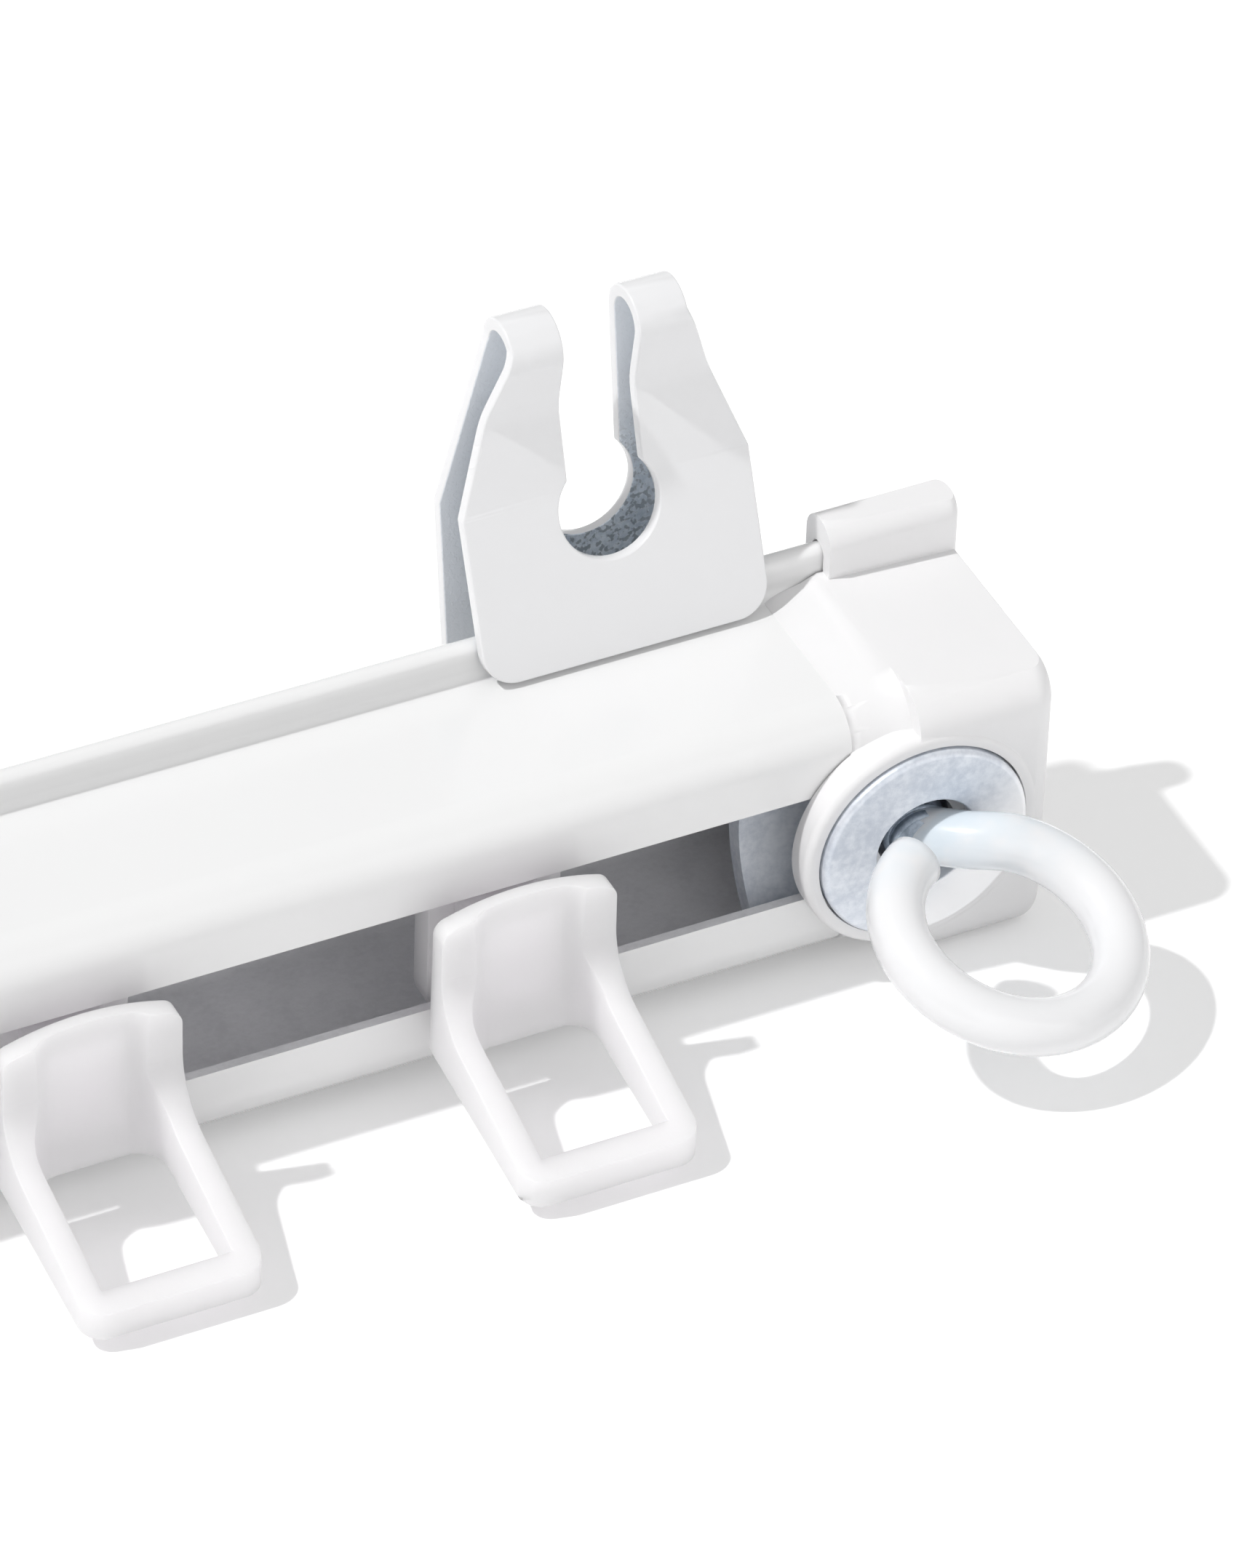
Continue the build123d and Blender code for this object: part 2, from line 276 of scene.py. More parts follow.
def cap_finish(looks):
    """Satin moulded plastic with a faint texture."""
    finish = Finish("cap_moulding")
    cloud = finish.noise(9 * MM, 2.0)
    grain = finish.noise(0.35 * MM, 2.0)
    finish.set(
        Base_Color=finish.blend(cloud, shade(looks.moulding, 0.98), looks.moulding),
        Roughness=0.3 + grain * 0.14,
        Normal=finish.bump(grain, 0.01 * MM, 0.35),
        Subsurface_Weight=0.12,
        Subsurface_Radius=(1.0, 1.0, 1.0),
        Subsurface_Scale=0.8 * MM,
    )
    return finish.data


def zinc_finish(name, light, dark, roughness, metallic, pale=None):
    """Zinc plate with a faint blue bloom and fine scratches; a washer's lower outer part may be painted
    paler, as painted light.
    """
    finish = Finish(name)
    colour = zinc_colour(finish, light, dark, 0.45 * MM)
    # painted light: the washer is painted paler where the ring and collar shade it
    if pale is not None:
        colour = finish.blend(below_and_outside(finish), colour, pale)
    grain = finish.noise(0.2 * MM, 3.0)
    scratch = finish.noise(0.3 * MM, 2.0, 0.5, (0.12, 1.0, 1.0))
    finish.set(
        Base_Color=colour,
        Metallic=metallic,
        Roughness=roughness + grain * 0.18,
        Normal=finish.bump(grain * 0.6 + scratch * 0.4, 0.015 * MM, 0.5),
    )
    return finish.data


def below_and_outside(finish):
    """1 on the part of a washer that is lower and further out on the track, where it is painted paler as
    painted light; 0 on the rest.
    """
    hub = middle("washer_right")
    across = finish.axis("X").absolute() - hub.x - (finish.axis("Z") - hub.z)
    return across.above(2.5 * MM, 3.5 * MM)


def coating_finish(looks):
    """Thick glossy dip coat with small runs and specks, thin and bluish at the neck."""
    finish = Finish("eye_dip_coating")
    swell = finish.noise(3.2 * MM, 1.0)
    speck = finish.noise(0.5 * MM, 3.0)
    neck = finish.axis("Y").above(NECK_END, 4.0 * MM) * finish.noise(1.8 * MM, 2.0).above(0.45, 0.2)
    finish.set(
        Base_Color=finish.blend(neck, looks.coating, looks.coating_thin),
        Roughness=0.14 + speck * 0.1,
        Normal=finish.bump(swell, 0.03 * MM, 0.5),
        Coat_Weight=0.5,
        Subsurface_Weight=0.1,
        Subsurface_Radius=(1.0, 1.0, 1.0),
        Subsurface_Scale=0.5 * MM,
        Coat_Roughness=0.05,
    )
    return finish.data


def clip_finish(looks):
    """White enamel outside; inside, pitted blue-grey zinc, painted darker in the middle as painted shade
    and lighter around it as painted light.
    """
    finish = Finish("clip_enamel_and_zinc")
    inner = finish.node("ShaderNodeAttribute", {"attribute_name": INNER}, {}, "Fac")
    # painted shade: the middle of the inside, where the front leaf shades it, is painted darker; painted
    # light: the rest of the inside is painted lighter where light falls on it
    across = finish.axis("X").absolute() - MOUNTS["clip_right_screw"].x
    painted_shade_middle = across.absolute().below(SHADE_HALF_WIDTH, 1.8 * MM) * finish.axis("Z").below(SHADE_TOP, 3.5 * MM)
    cloud = finish.noise(6 * MM, 2.0)
    enamel = finish.blend(cloud, shade(looks.clip_enamel, 0.98), looks.clip_enamel)
    pits = finish.noise(0.26 * MM, 2.0, 0.4).above(0.54, 0.06)
    zinc = zinc_colour(finish, looks.clip_inside_light, looks.clip_inside_dark, 0.3 * MM)
    zinc = finish.blend(pits * 0.6, zinc, shade(looks.clip_inside_dark, 0.3))
    inner_colour = finish.blend(painted_shade_middle, looks.clip_inside_painted_light, zinc)
    relief = pits * inner * (0.25 + painted_shade_middle * 0.75) + cloud * 0.1 * (1 - inner)
    finish.set(
        Base_Color=finish.blend(inner, enamel, inner_colour),
        Metallic=inner * painted_shade_middle * 0.45,
        Roughness=inner * (0.3 + pits * 0.15) + (1 - inner) * (0.24 + cloud * 0.05),
        Normal=finish.bump(relief, 0.06 * MM, 0.8),
        Coat_Weight=(1 - inner) * 0.25,
    )
    return finish.data


def glider_finish(looks):
    """Milky plastic that lets light through its thin walls."""
    finish = Finish("glider_milky_plastic")
    cloud = finish.noise(5 * MM, 2.0)
    grain = finish.noise(0.3 * MM, 2.0)
    finish.set(
        Base_Color=finish.blend(cloud, shade(looks.glider, 0.98), looks.glider),
        Roughness=0.46 + grain * 0.12,
        Normal=finish.bump(grain, 0.01 * MM, 0.35),
        Subsurface_Weight=0.92,
        Subsurface_Radius=(1.0, 0.97, 1.0),
        Subsurface_Scale=5.0 * MM,
    )
    return finish.data


# Meshes
def merged(node):
    """Clean copy of a CAD node's mesh: corners merged and flat faces joined."""
    mesh = bmesh.new()
    mesh.from_mesh(frame["nodes"][node].data)
    bmesh.ops.remove_doubles(mesh, verts=mesh.verts, dist=0.002 * MM)
    bmesh.ops.dissolve_limit(
        mesh, angle_limit=math.radians(0.4), verts=mesh.verts, edges=mesh.edges, delimit={"NORMAL"}
    )
    return mesh


def to_object(mesh, name, material):
    """Turn a bmesh into a smooth-shaded object in the scene."""
    data = bpy.data.meshes.new(name)
    mesh.to_mesh(data)
    mesh.free()
    data.materials.append(material)
    data.polygons.foreach_set("use_smooth", [True] * len(data.polygons))
    made = bpy.data.objects.new(name, data)
    bpy.context.scene.collection.objects.link(made)
    return made


def settled(source):
    """Replace an object's mesh by the plain result of its modifiers."""
    graph = bpy.context.evaluated_depsgraph_get()
    graph.update()
    data = bpy.data.meshes.new_from_object(source.evaluated_get(graph))
    data.name = source.name
    source.modifiers.clear()
    source.data = data
    return source


def rounded(node, name, width, segments, material, weigh=None, reshape=None):
    """A CAD node's own form with its sharp edges rounded.

    weigh gives the share of the width for an edge at a place, and reshape moves corners first.
    """
    mesh = merged(node)
    if reshape:
        reshape(mesh)
    weights = mesh.edges.layers.float.new("bevel_weight_edge")
    largest = 1.0
    for edge in mesh.edges:
        if len(edge.link_faces) == 2 and edge.calc_face_angle() > SHARP:
            edge[weights] = weigh((edge.verts[0].co + edge.verts[1].co) / 2) if weigh else 1.0
            largest = max(largest, edge[weights])
    for edge in mesh.edges:
        edge[weights] /= largest
    made = to_object(mesh, name, material)
    bevel = made.modifiers.new("edge_rounding", "BEVEL")
    bevel.width = width * largest
    bevel.segments = segments
    bevel.limit_method = "WEIGHT"
    bevel.use_clamp_overlap = True
    normals = made.modifiers.new("flat_faces_stay_flat", "WEIGHTED_NORMAL")
    normals.weight = 60
    settled(made)
    return made


def beside_section(place):
    """Distance of a place from the rail's outline, and the direction straight away from it."""
    corner = BACK_CORNER if place.y > 0 else FRONT_CORNER
    along_y = abs(place.y) - HALF_DEPTH + corner
    along_z = abs(place.z - HALF_HEIGHT) - HALF_HEIGHT + corner
    if min(along_y, along_z) > 0:
        away = Vector((0.0, along_y, along_z))
    else:
        away = Vector((0.0, along_y, 0.0)) if along_y > along_z else Vector((0.0, 0.0, along_z))
    distance = away.length - corner
    away.y = math.copysign(away.y, place.y)
    away.z = math.copysign(away.z, place.z - HALF_HEIGHT)
    return distance, away.normalized()


def feather(mesh):
    """Let a cap's sleeve run out on the rail, with its inner lip under the enamel."""
    for vertex in mesh.verts:
        along = (abs(vertex.co.x) - SLEEVE_START) / SLEEVE_RAMP
        distance, away = beside_section(vertex.co)
        if not -0.01 < along < 1.0:
            continue
        if 0.2 * MM < distance < 0.7 * MM:
            vertex.co -= away * SLEEVE_LOWERED * (1.0 - along)
        elif along < 0.01 and 0.0 < distance < 0.2 * MM:
            vertex.co -= away * SLEEVE_SUNK


def cap_edge_weight(place):
    """Share of the rounding for an edge of a cap: none at the sleeve's start, most at the block's step."""
    hub = middle("washer_right")
    across = math.hypot(abs(place.x) - hub.x, place.z - hub.z)
    if abs(abs(place.x) - SLEEVE_START) < 0.05 * MM:
        return 0.0
    if abs(across - SEAT_RADIUS) < 0.1 * MM and place.y < hub.y + 1.5 * MM:
        return SEAT_ROUNDING
    if abs(abs(place.x) - CAP_STEP) < 0.1 * MM and across > SEAT_RADIUS and place.y < 0:
        return STEP_ROUNDING
    if abs(place.y - BEAD_FRONT) < 0.1 * MM and abs(place.z - CAP_ROOF) < 0.5 * MM:
        return STEP_ROUNDING
    return 1.0


def mark_inner(piece, middle_line, least, highest=math.inf):
    """Note which faces below a height look inwards, to a line of (y, z) points in the section.

    least is the smallest cosine of the angle between a face's normal and the way to that line.
    """
    points = [Vector(point) for point in middle_line]
    note = piece.data.attributes.new(INNER, "FLOAT", "FACE")
    for face, value in zip(piece.data.polygons, note.data):
        centre = Vector((face.center.y, face.center.z))
        outward = Vector((face.normal.y, face.normal.z))
        places = [nearest_on(centre, a, b) for a, b in zip(points, points[1:])]
        inward = min((place - centre for place in places), key=lambda gap: gap.length)
        looks_in = outward.dot(inward) > least * inward.length
        value.value = float(looks_in and face.center.z < highest and abs(face.normal.x) < 0.5)


def nearest_on(point, start, end):
    """Nearest place to a point on a straight line between two others."""
    along = end - start
    part = (point - start).dot(along) / along.length_squared
    return start + along * min(1.0, max(0.0, part))


def eye_line(sizes, side, sign):
    """Middle of the coated wire: out of the washer, then around the open ring."""
    roll, droop = sizes.ring_roll, sizes.ring_droop
    normal = Vector((
        sign * math.sin(roll), -math.cos(roll) * math.sin(droop), math.cos(roll) * math.cos(droop)
    ))
    back = (Vector((0, 1, 0)) - normal * normal.y).normalized()
    outward = back.cross(normal) * sign
    centre = MOUNTS[f"eye_{side}"]
    hub = middle(f"washer_{side}")
    line = [Vector((hub.x, hub.y + NECK_START, hub.z)), Vector((hub.x, hub.y - NECK_BEND, hub.z))]
    for number in range(RING_STEPS + 1):
        turn = sizes.ring_start + (sizes.ring_end - sizes.ring_start) * number / RING_STEPS
        line.append(centre + sizes.ring_radius * (back * math.cos(turn) + outward * math.sin(turn)))
    return line


def swept(name, line, radius, material):
    """Round wire along a line of points, its first bends softened and its far end chamfered."""
    for _ in range(3):
        line[1:6] = [(a + 2 * b + c) / 4 for a, b, c in zip(line, line[1:6], line[2:])]
    tip = line[-1] + (line[-1] - line[-2]).normalized() * 0.12 * radius
    path = bpy.data.curves.new(name, "CURVE")
    path.dimensions = "3D"
    path.bevel_depth = radius
    path.bevel_resolution = 14
    path.use_fill_caps = True
    spline = path.splines.new("POLY")
    spline.points.add(len(line))
    for point, place, scale in zip(spline.points, [*line, tip], [1.0] * len(line) + [0.84]):
        point.co = (*place, 1.0)
        point.radius = scale
    made = bpy.data.objects.new(name, path)
    bpy.context.scene.collection.objects.link(made)
    graph = bpy.context.evaluated_depsgraph_get()
    graph.update()
    data = bpy.data.meshes.new_from_object(made.evaluated_get(graph))
    bpy.data.objects.remove(made)
    mesh = bmesh.new()
    mesh.from_mesh(data)
    bpy.data.meshes.remove(data)
    bmesh.ops.remove_doubles(mesh, verts=mesh.verts, dist=0.001 * MM)
    return to_object(mesh, name, material)


def thread_tree():
    """Geometry nodes that wind a triangular ridge around a core, with its sizes as inputs."""
    tree = bpy.data.node_groups.new("wound_thread", "GeometryNodeTree")
    face = tree.interface
    face.new_socket("Geometry", in_out="INPUT", socket_type="NodeSocketGeometry")
    for name in THREAD_INPUTS:
        face.new_socket(name, in_out="INPUT", socket_type="NodeSocketFloat")
    face.new_socket("Material", in_out="INPUT", socket_type="NodeSocketMaterial")
    face.new_socket("Geometry", in_out="OUTPUT", socket_type="NodeSocketGeometry")
    given = tree.nodes.new("NodeGroupInput").outputs
    out = tree.nodes.new("NodeGroupOutput")

    def add(kind, values, **options):
        node = tree.nodes.new(kind)
        for key, value in options.items():
            setattr(node, key, value)
        for key, value in values.items():
            if isinstance(value, bpy.types.NodeSocket):
                tree.links.new(value, node.inputs[key])
            else:
                node.inputs[key].default_value = value
        return node.outputs[0]

    length, pitch, root, hand = (given[name] for name in THREAD_INPUTS)
    turns = add("ShaderNodeMath", {0: length, 1: pitch}, operation="DIVIDE")
    spiral = add("GeometryNodeCurveSpiral", {
        "Resolution": 36, "Rotations": turns, "Start Radius": root, "End Radius": root, "Height": length,
    })
    low_end = add("ShaderNodeMath", {0: length, 1: -0.5}, operation="MULTIPLY")
    down = add("ShaderNodeCombineXYZ", {"Z": low_end})
    spiral = add("GeometryNodeTransform", {"Geometry": spiral, "Translation": down})
    ridge = add("ShaderNodeMath", {0: pitch, 1: 0.5}, operation="MULTIPLY")
    profile = add("GeometryNodeCurvePrimitiveCircle", {"Resolution": 3, "Radius": ridge})
    wound = add("GeometryNodeCurveToMesh", {"Curve": spiral, "Profile Curve": profile, "Fill Caps": True})
    mirror = add("ShaderNodeCombineXYZ", {"X": hand, "Y": 1.0, "Z": 1.0})
    wound = add("GeometryNodeTransform", {"Geometry": wound, "Scale": mirror})
    joined = tree.nodes.new("GeometryNodeJoinGeometry")
    tree.links.new(wound, joined.inputs[0])
    tree.links.new(given["Geometry"], joined.inputs[0])
    real = add("GeometryNodeRealizeInstances", {"Geometry": joined.outputs[0]})
    painted = add("GeometryNodeSetMaterial", {"Geometry": real, "Material": given["Material"]})
    tree.links.new(painted, out.inputs["Geometry"])
    return tree


def make_thread(sizes, side, sign, tree, material):
    """Core of the shank, with its thread wound on it by geometry nodes."""
    hub = middle(f"washer_{side}")
    start, stop = hub.y - THREAD_OUT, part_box(f"screw_eye_{side}")[1].y
    root = sizes.thread_radius - THREAD_DEPTH * sizes.pitch
    mesh = bmesh.new()
    bmesh.ops.create_cone(
        mesh, cap_ends=True, segments=40, radius1=root, radius2=root, depth=stop - start
    )
    made = to_object(mesh, f"eye_thread_{side}", material)
    wind = made.modifiers.new("wound_thread", "NODES")
    wind.node_group = tree
    inputs = {
        "Length": stop - start - sizes.pitch, "Pitch": sizes.pitch, "Root": root, "Hand": float(sign),
        "Material": material,
    }
    for item in tree.interface.items_tree:
        if item.name in inputs:
            wind[item.identifier] = inputs[item.name]
    settled(made)
    turned_out(made)
    turn = Matrix.Rotation(math.radians(-90), 4, "X")
    made.data.transform(Matrix.Translation((hub.x, (start + stop) / 2, hub.z)) @ turn)
    return made


def turned_out(piece):
    """Turn a piece's faces outwards again, after a mirroring."""
    mesh = bmesh.new()
    mesh.from_mesh(piece.data)
    bmesh.ops.recalc_face_normals(mesh, faces=mesh.faces)
    mesh.to_mesh(piece.data)
    mesh.free()


def seat(piece, body, slot, *nodes):
    """Attach a piece to the body it rides on and hide the nodes it stands for; slot is not used."""
    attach(piece, body)
    if nodes:
        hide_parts(*nodes)


# Sizes and colours that a user would change
class TrackSizes(bpy.types.PropertyGroup):
    """Sizes that the frame doesn't give."""

    wire: FloatProperty(name="Wire", description="Eye's coated wire", default=3.1 * MM, unit="LENGTH")
    ring_radius: FloatProperty(
        name="Ring radius", description="Middle of the wire", default=6.2 * MM, unit="LENGTH"
    )
    ring_droop: FloatProperty(
        name="Ring droop", description="Fall to the front", default=math.radians(15.4), unit="ROTATION"
    )
    ring_roll: FloatProperty(
        name="Ring roll", description="Fall to the end", default=math.radians(9.5), unit="ROTATION"
    )
    ring_start: FloatProperty(
        name="Ring start", description="Where the neck joins", default=math.radians(15), unit="ROTATION"
    )
    ring_end: FloatProperty(
        name="Ring end", description="Where the wire is cut", default=math.radians(328), unit="ROTATION"
    )
    thread_radius: FloatProperty(
        name="Thread radius", description="Over the crests", default=2.0 * MM, unit="LENGTH"
    )
    pitch: FloatProperty(name="Pitch", description="Of the thread", default=0.7 * MM, unit="LENGTH")
    washer_stand: FloatProperty(
        name="Washer stand", description="Added to the washer's height", default=0.3 * MM, unit="LENGTH"
    )
    sheet_rounding: FloatProperty(
        name="Sheet rounding", description="Edge radius of cut sheet", default=0.16 * MM, unit="LENGTH"
    )
    moulding_rounding: FloatProperty(
        name="Moulding rounding", description="Edge radius of plastic", default=0.3 * MM, unit="LENGTH"
    )


class TrackLooks(bpy.types.PropertyGroup):
    """Colours of the finishes, linear."""

    enamel: FloatVectorProperty(
        name="Enamel", description="Outside of the rail", default=(0.86, 0.86, 0.86), subtype="COLOR"
    )
    # Zinc inside the rail, painted near white as painted light
    inside_light: FloatVectorProperty(
        name="Inside, light", description="Light spangles", default=(0.97, 0.97, 0.99), subtype="COLOR"
    )
    inside_dark: FloatVectorProperty(
        name="Inside, dark", description="Dark spangles", default=(0.86, 0.86, 0.88), subtype="COLOR"
    )
    moulding: FloatVectorProperty(
        name="Cap plastic", description="End caps", default=(0.86, 0.855, 0.86), subtype="COLOR"
    )
    plate_light: FloatVectorProperty(
        name="Washer, light", description="Zinc plate", default=(0.83, 0.865, 0.92), subtype="COLOR"
    )
    plate_dark: FloatVectorProperty(
        name="Washer, dark", description="Bloom in the plate", default=(0.62, 0.665, 0.74), subtype="COLOR"
    )
    # Paler colour of a washer's lower outer part: painted light
    plate_painted_light: FloatVectorProperty(
        name="Washer, pale", description="Its outer lower part", default=(0.97, 0.97, 0.98), subtype="COLOR"
    )
    coating: FloatVectorProperty(
        name="Eye coating", description="Dip coat", default=(0.85, 0.85, 0.86), subtype="COLOR"
    )
    coating_thin: FloatVectorProperty(
        name="Eye coating, thin", description="Where the wire shows through", default=(0.72, 0.80, 0.86),
        subtype="COLOR",
    )
    clip_enamel: FloatVectorProperty(
        name="Clip enamel", description="Outside of the clips", default=(0.84, 0.84, 0.85), subtype="COLOR"
    )
    # Lighter colour of the clip's inside around its middle: painted light
    clip_inside_painted_light: FloatVectorProperty(
        name="Clip overspray", description="Thin enamel near the edges inside", default=(0.82, 0.85, 0.89),
        subtype="COLOR",
    )
    clip_inside_light: FloatVectorProperty(
        name="Clip inside, light", description="Zinc grain", default=(0.78, 0.84, 0.90), subtype="COLOR"
    )
    clip_inside_dark: FloatVectorProperty(
        name="Clip inside, dark", description="Zinc grain", default=(0.5, 0.57, 0.65), subtype="COLOR"
    )
    thread_light: FloatVectorProperty(
        name="Thread, light", description="Zinc on the thread", default=(0.52, 0.59, 0.68), subtype="COLOR"
    )
    thread_dark: FloatVectorProperty(
        name="Thread, dark", description="Zinc on the thread", default=(0.22, 0.27, 0.33), subtype="COLOR"
    )
    glider: FloatVectorProperty(
        name="Glider plastic", description="Milky plastic", default=(0.9, 0.87, 0.9), subtype="COLOR"
    )


class StageSettings(bpy.types.PropertyGroup):
    """Camera and lamps."""

    lens: FloatProperty(name="Lens", description="Focal length in millimetres", default=299.5)
    distance: FloatProperty(
        name="Distance", description="Camera to the aim point", default=0.553, unit="LENGTH"
    )
    key: FloatProperty(name="Key lamp", description="Strength of the sun lamp", default=1.9)
    front: FloatProperty(name="Front lamp", description="Strength of the soft front light", default=0.65)
    fill: FloatProperty(name="Fill", description="Strength of the sky", default=0.52)


class CURTAIN_OT_rail(bpy.types.Operator):
    """Rolled rail with enamel outside and zinc inside"""

    bl_idname = "curtain.rail"
    bl_label = "Rail"

    def execute(self, context):
        sizes, looks = context.scene.track_sizes, context.scene.track_looks
        made = rounded("rail", "rail_section", sizes.sheet_rounding, 2, rail_finish(looks))
        mark_inner(made, RAIL_MIDDLE, least=0.001, highest=RAIL_TOP_INSIDE)
        seat(made, "track", "rail", "rail")
        return {"FINISHED"}


class CURTAIN_OT_end_caps(bpy.types.Operator):
    """Moulded caps over both ends"""

    bl_idname = "curtain.end_caps"
    bl_label = "End caps"

    def execute(self, context):
        sizes = context.scene.track_sizes
        material = cap_finish(context.scene.track_looks)
        for side in SIDES:
            node = f"end_cap_{side}"
            made = rounded(
                node, f"cap_moulding_{side}", sizes.moulding_rounding, 4, material, cap_edge_weight, feather
            )
            seat(made, "track", "cap", node)
        return {"FINISHED"}


class CURTAIN_OT_washers(bpy.types.Operator):
    """Zinc plated washers in the caps' collars"""

    bl_idname = "curtain.washers"
    bl_label = "Washers"

    def execute(self, context):
        sizes, looks = context.scene.track_sizes, context.scene.track_looks
        material = zinc_finish(
            "washer_zinc", looks.plate_light, looks.plate_dark, 0.3, 0.45, looks.plate_painted_light
        )
        for side in SIDES:
            node = f"washer_{side}"
            made = rounded(node, f"washer_plate_{side}", 0.12 * MM, 3, material)
            half = middle(node).y
            for vertex in made.data.vertices:
                if vertex.co.y < half:
                    vertex.co.y -= sizes.washer_stand
            seat(made, "track", "washer", node)
        return {"FINISHED"}


class CURTAIN_OT_inserts(bpy.types.Operator):
    """Threaded inserts behind the slot"""

    bl_idname = "curtain.inserts"
    bl_label = "Inserts"

    def execute(self, context):
        looks = context.scene.track_looks
        material = zinc_finish(
            "insert_zinc", looks.plate_light, looks.plate_dark, roughness=0.34, metallic=0.08
        )
        for side in SIDES:
            node = f"insert_{side}"
            made = rounded(node, f"insert_strip_{side}", 0.15 * MM, 2, material)
            seat(made, "track", "insert", node)
        return {"FINISHED"}


class CURTAIN_OT_screw_eyes(bpy.types.Operator):
    """Dip coated screw eyes"""

    bl_idname = "curtain.screw_eyes"
    bl_label = "Screw eyes"

    def execute(self, context):
        sizes, looks = context.scene.track_sizes, context.scene.track_looks
        coating = coating_finish(looks)
        plate = zinc_finish(
            "thread_zinc", looks.thread_light, looks.thread_dark, roughness=0.35, metallic=0.5
        )
        tree = thread_tree()
        for side, sign in zip(SIDES, (1, -1)):
            node = f"screw_eye_{side}"
            wire = swept(f"eye_wire_{side}", eye_line(sizes, side, sign), sizes.wire / 2, coating)
            seat(wire, f"eye_{side}", "screw_eye", node)
            thread = make_thread(sizes, side, sign, tree, plate)
            seat(thread, f"eye_{side}", "screw_eye")
        return {"FINISHED"}


class CURTAIN_OT_clips(bpy.types.Operator):
    """Folded spring clips on the ridge"""

    bl_idname = "curtain.clips"
    bl_label = "Clips"

    def execute(self, context):
        sizes, looks = context.scene.track_sizes, context.scene.track_looks
        material = clip_finish(looks)
        for side in SIDES:
            node = f"clip_{side}"
            made = rounded(node, f"clip_fold_{side}", sizes.sheet_rounding, 2, material)
            mark_inner(made, CLIP_MIDDLE, least=0.6)
            seat(made, f"clip_{side}", "clip", node)
        return {"FINISHED"}


class CURTAIN_OT_gliders(bpy.types.Operator):
    """Milky gliders along the slot"""

    bl_idname = "curtain.gliders"
    bl_label = "Gliders"

    def execute(self, context):
        sizes = context.scene.track_sizes
        material = glider_finish(context.scene.track_looks)
        for node in GLIDERS:
            made = rounded(node, f"{node}_moulding", 1.3 * sizes.moulding_rounding, 4, material)
            seat(made, node, "glider", node)
        return {"FINISHED"}


class CURTAIN_OT_stage(bpy.types.Operator):
    """Pale floor, soft sun and camera"""

    bl_idname = "curtain.stage"
    bl_label = "Stage"

    def execute(self, context):
        settings = context.scene.track_stage
        make_floor()
        make_sky(settings.fill)
        make_sun("key", settings.key, KEY_ACROSS, KEY_ANGLE)
        make_sun("front", settings.front, FRONT_ACROSS, FRONT_ANGLE)
        make_camera(settings)
        context.scene.view_settings.view_transform = "Standard"
        return {"FINISHED"}


# Stage
def clear_ray(finish):
    """1 for rays that should see a white background: from the camera and from gloss."""
    made = finish.tree.nodes.new("ShaderNodeLightPath")
    camera, glossy, through = (
        Wire(finish, made.outputs[name])
        for name in ("Is Camera Ray", "Is Glossy Ray", "Is Transmission Ray")
    )
    return camera + glossy + through


def make_floor():
    """Large pale floor that shows white, but keeps the object's shadow."""
    finish = Finish("floor_paper")
    lift = clear_ray(finish)
    finish.set(Base_Color=(0.9, 0.9, 0.9, 1.0), Roughness=0.9, Specular_IOR_Level=0.0)
    glow = finish.node("ShaderNodeEmission", {}, {"Strength": lift * FLOOR_LIFT})
    both = finish.tree.nodes.new("ShaderNodeAddShader")
    finish.tree.links.new(finish.shader.outputs[0], both.inputs[0])
    finish.tree.links.new(glow.socket, both.inputs[1])
    finish.tree.links.new(both.outputs[0], finish.output.inputs["Surface"])
    mesh = bmesh.new()
    bmesh.ops.create_grid(mesh, x_segments=1, y_segments=1, size=3.0)
    lean = Matrix.Rotation(-math.atan(FLOOR_SLOPE), 4, "X")
    mesh.transform(Matrix.Translation(FLOOR_EDGE) @ lean)
    to_object(mesh, "floor", finish.data)


def make_sky(strength):
    """White surroundings that light softly and show as white."""
    world = bpy.data.worlds.new("studio")
    world.use_nodes = True
    tree = world.node_tree
    background = tree.nodes["Background"]
    background.inputs["Color"].default_value = (1.0, 1.0, 1.0, 1.0)
    path = tree.nodes.new("ShaderNodeLightPath")
    choose = tree.nodes.new("ShaderNodeMix")
    choose.inputs["A"].default_value = strength
    choose.inputs["B"].default_value = 1.0
    tree.links.new(path.outputs["Is Camera Ray"], choose.inputs["Factor"])
    tree.links.new(choose.outputs[0], background.inputs["Strength"])
    bpy.context.scene.world = world


def make_sun(name, strength, across, angle):
    """Sun lamp whose light moves this far across for each unit down."""
    lamp = bpy.data.lights.new(name, "SUN")
    lamp.energy = strength
    lamp.angle = math.radians(angle)
    made = bpy.data.objects.new(name, lamp)
    made.rotation_euler = Vector((*across, -1.0)).to_track_quat("-Z", "Y").to_euler()
    bpy.context.scene.collection.objects.link(made)


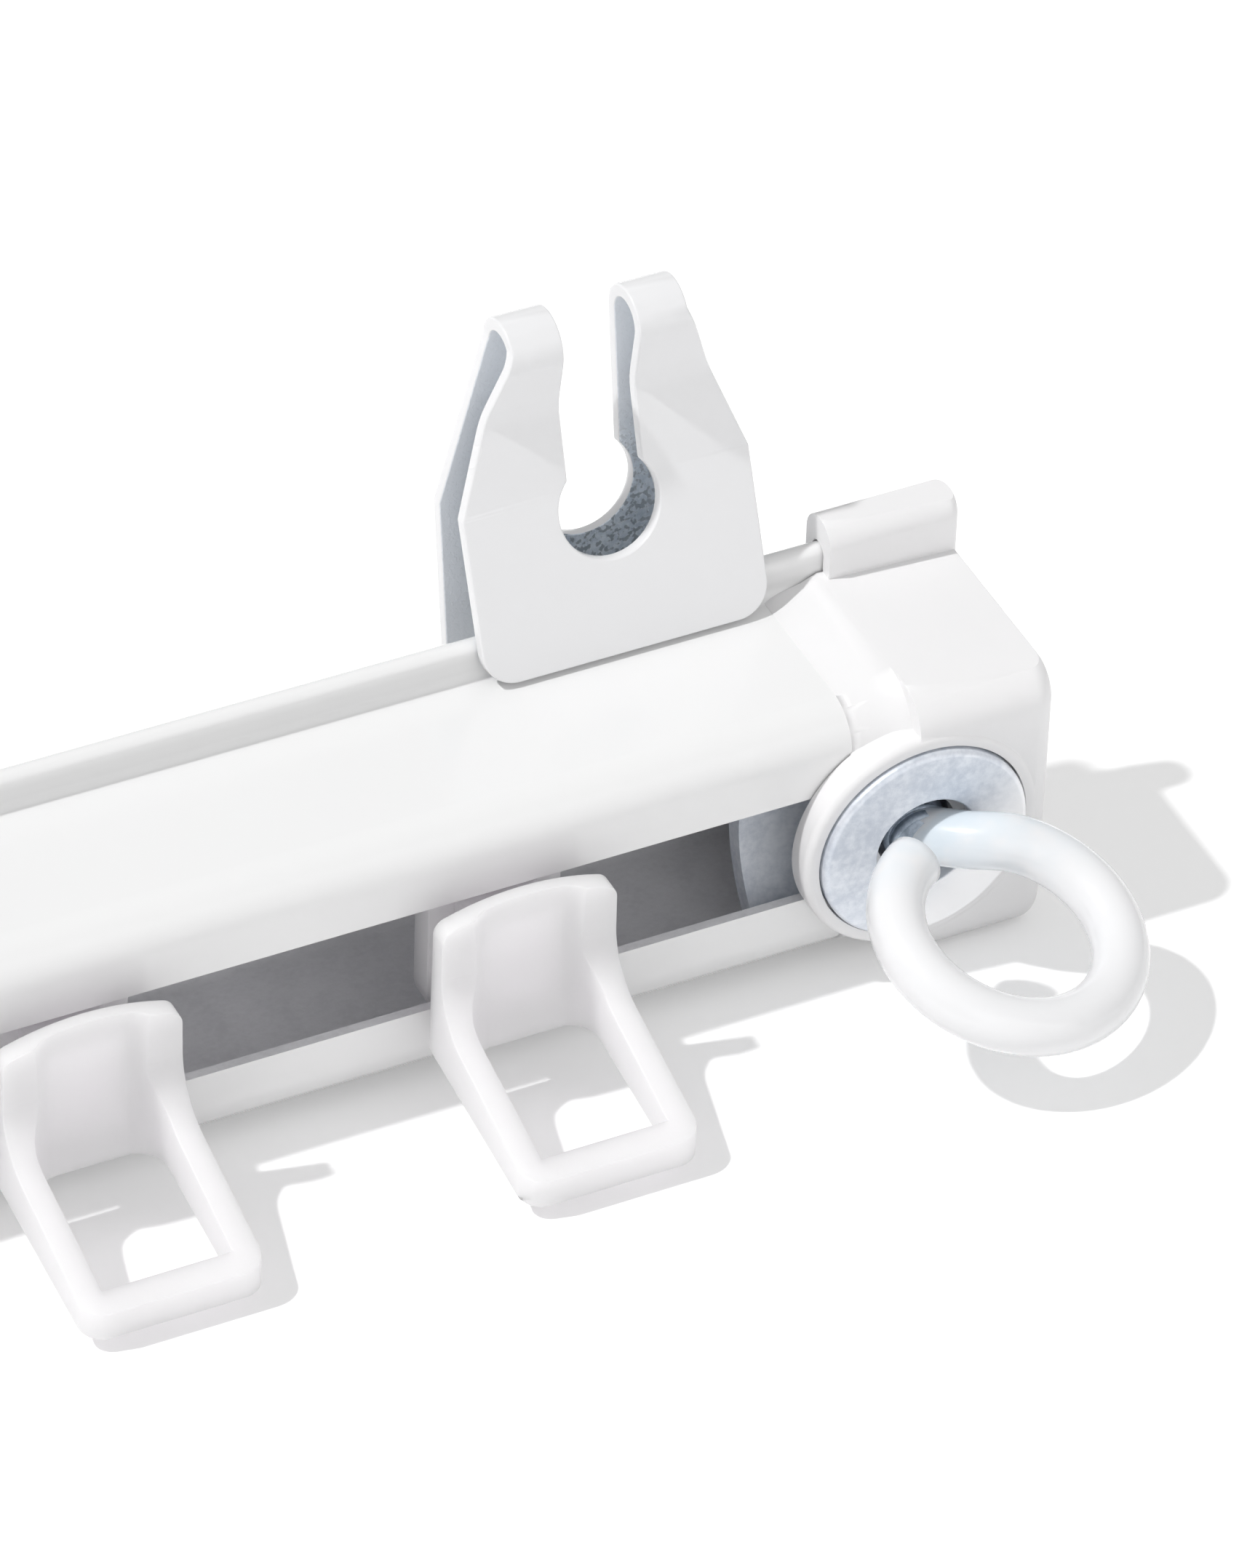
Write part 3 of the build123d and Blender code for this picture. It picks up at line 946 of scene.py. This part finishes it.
def make_camera(settings):
    """Long lens from the front left, with the track's right end in view."""
    data = bpy.data.cameras.new("camera")
    data.sensor_fit = "HORIZONTAL"
    data.sensor_width = 36.0
    data.lens = settings.lens
    data.clip_start = 0.01
    data.clip_end = 20.0
    right = CAMERA_RIGHT.normalized()
    up = (CAMERA_UP - right * CAMERA_UP.dot(right)).normalized()
    back = right.cross(up)
    end = Vector((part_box("end_cap_right")[1].x, 0, 0))
    made = bpy.data.objects.new("camera", data)
    turn = Matrix((right, up, back)).transposed()
    made.matrix_world = Matrix.Translation(end + AIM + back * settings.distance) @ turn.to_4x4()
    bpy.context.scene.collection.objects.link(made)
    bpy.context.scene.camera = made


# Panel and registration
PIECE_OPERATORS = (
    CURTAIN_OT_rail,
    CURTAIN_OT_end_caps,
    CURTAIN_OT_washers,
    CURTAIN_OT_inserts,
    CURTAIN_OT_screw_eyes,
    CURTAIN_OT_clips,
    CURTAIN_OT_gliders,
    CURTAIN_OT_stage,
)


class CURTAIN_PT_panel(bpy.types.Panel):
    """Buttons and settings for the curtain track"""

    bl_idname = "CURTAIN_PT_panel"
    bl_label = "Curtain Track"
    bl_space_type = "VIEW_3D"
    bl_region_type = "UI"
    bl_category = "Curtain Track"

    def draw(self, context):
        for operator in PIECE_OPERATORS:
            self.layout.operator(operator.bl_idname)
        for group in (context.scene.track_sizes, context.scene.track_looks, context.scene.track_stage):
            for name in group.__annotations__:
                self.layout.prop(group, name)


CLASSES = (TrackSizes, TrackLooks, StageSettings, *PIECE_OPERATORS, CURTAIN_PT_panel)


def register():
    """Add the classes, and the settings to the scene."""
    for item in CLASSES:
        bpy.utils.register_class(item)
    bpy.types.Scene.track_sizes = PointerProperty(type=TrackSizes)
    bpy.types.Scene.track_looks = PointerProperty(type=TrackLooks)
    bpy.types.Scene.track_stage = PointerProperty(type=StageSettings)


def unregister():
    """Take the settings and the classes away again."""
    for name in ("track_sizes", "track_looks", "track_stage"):
        delattr(bpy.types.Scene, name)
    for item in reversed(CLASSES):
        bpy.utils.unregister_class(item)


def main():
    """Build every piece."""
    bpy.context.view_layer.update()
    register()
    for operator in PIECE_OPERATORS:
        section, name = operator.bl_idname.split(".")
        getattr(getattr(bpy.ops, section), name)()


if __name__ == "__main__":
    main()
